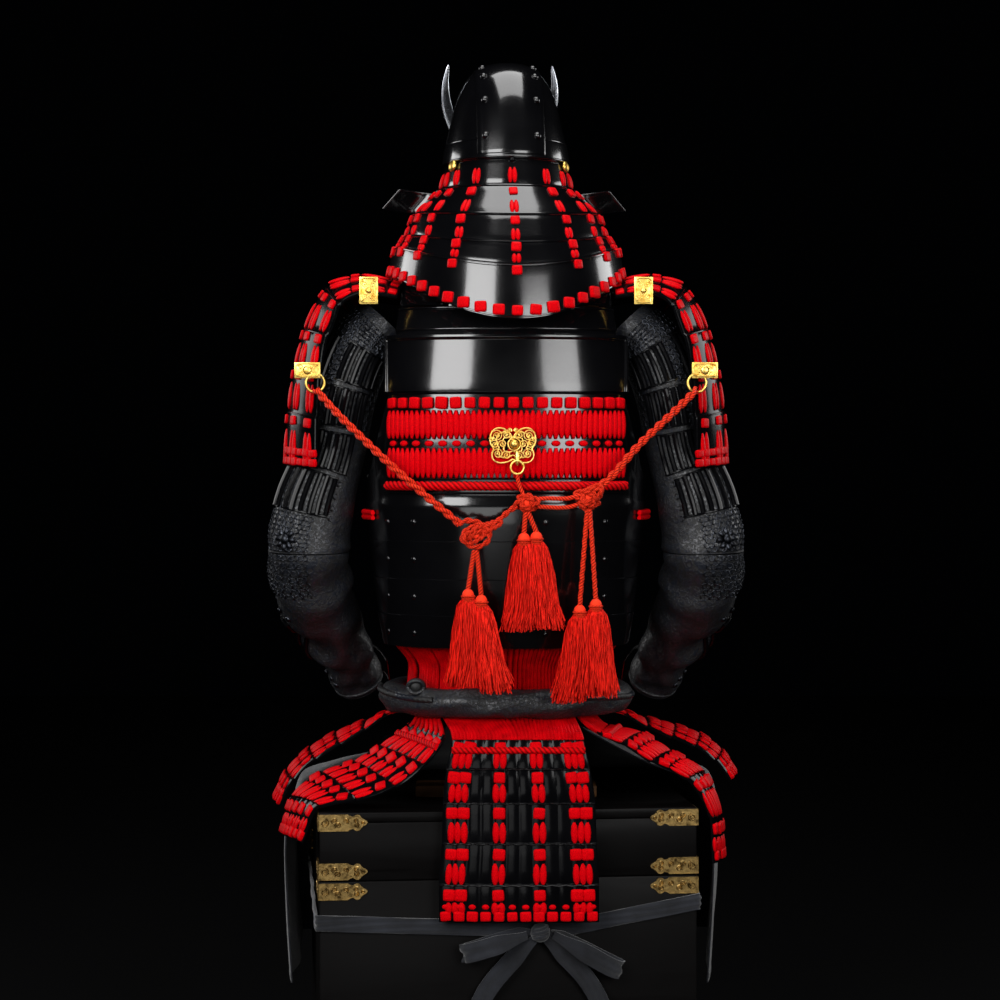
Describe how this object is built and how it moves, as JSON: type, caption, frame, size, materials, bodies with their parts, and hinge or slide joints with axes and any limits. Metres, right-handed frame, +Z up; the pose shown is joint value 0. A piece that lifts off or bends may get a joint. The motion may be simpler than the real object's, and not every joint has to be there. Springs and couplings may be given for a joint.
{
  "type": "samurai armour on a wooden armour stand and storage chest",
  "caption": "Samurai armour of black lacquered plates laced in red, seated on its storage chest, with helmet, sleeves, skirt, tied cords and tassels.",
  "frame": {"origin": "on the floor, below the middle of the whole, cords left out", "axes": "+Z up; the armour's back faces -Y, its front +Y, the wearer's left is -X"},
  "size_m": [0.6894, 0.5626, 1.5721],
  "materials": {
    "lacquer": "deep gloss black lacquer",
    "lacing": "matt silk braid",
    "cord": "twisted silk, soft sheen",
    "gilt": "polished gilding",
    "brocade": "black figured silk, slight sheen",
    "cotton": "matt grey cotton",
    "chest_wood": "dark lacquered wood with aged brass corners, satin",
    "horn": "polished, slightly dull",
    "stand_wood": "dark stained wood, satin"
  },
  "bodies": {
    "root": {"armour_stand": "stand_wood", "back_plate": "lacquer", "belt": "brocade", "butterfly_fitting": "gilt", "chest_body": "chest_wood", "chest_lid": "chest_wood", "clasp_lower_left": "gilt", "clasp_lower_right": "gilt", "clasp_upper_left": "gilt", "clasp_upper_right": "gilt", "collar": "lacquer", "cord_centre": "cord", "cord_left": "cord", "cord_right": "cord", "cuirass_back": "lacquer", "cuirass_front": "lacquer", "hand_guard_left": "lacquer", "hand_guard_right": "lacquer", "helmet_bowl": "lacquer", "helmet_crest": "horn", "helmet_visor": "lacquer", "lacing_band_lower": "lacing", "lacing_band_upper": "lacing", "lacing_diamonds": "lacing", "lacing_squares": "lacing", "lacing_twist": "lacing", "neck_lame_1": "lacquer", "neck_lame_2": "lacquer", "neck_lame_3": "lacquer", "neck_lame_4": "lacquer", "neck_lame_5": "lacquer", "sash": "cotton", "sash_bow": "cotton", "shoulder_guard_left": "lacquer", "shoulder_guard_right": "lacquer", "side_lacing_left": "lacing", "side_lacing_right": "lacing", "sleeve_forearm_left": "brocade", "sleeve_forearm_right": "brocade", "sleeve_upper_left": "brocade", "sleeve_upper_right": "brocade", "strap_left": "lacquer", "strap_right": "lacquer", "tassel_pair_centre": "cord", "tassel_pair_left": "cord", "tassel_pair_right": "cord", "tasset_back": "lacquer", "tasset_back_left": "lacquer", "tasset_back_right": "lacquer", "tasset_front_left": "lacquer", "tasset_front_right": "lacquer", "tasset_left": "lacquer", "tasset_right": "lacquer", "thigh_apron_left": "cotton", "thigh_apron_right": "cotton", "turn_back_left": "lacquer", "turn_back_right": "lacquer", "yoke": "lacquer"}
  },
  "joints": []
}
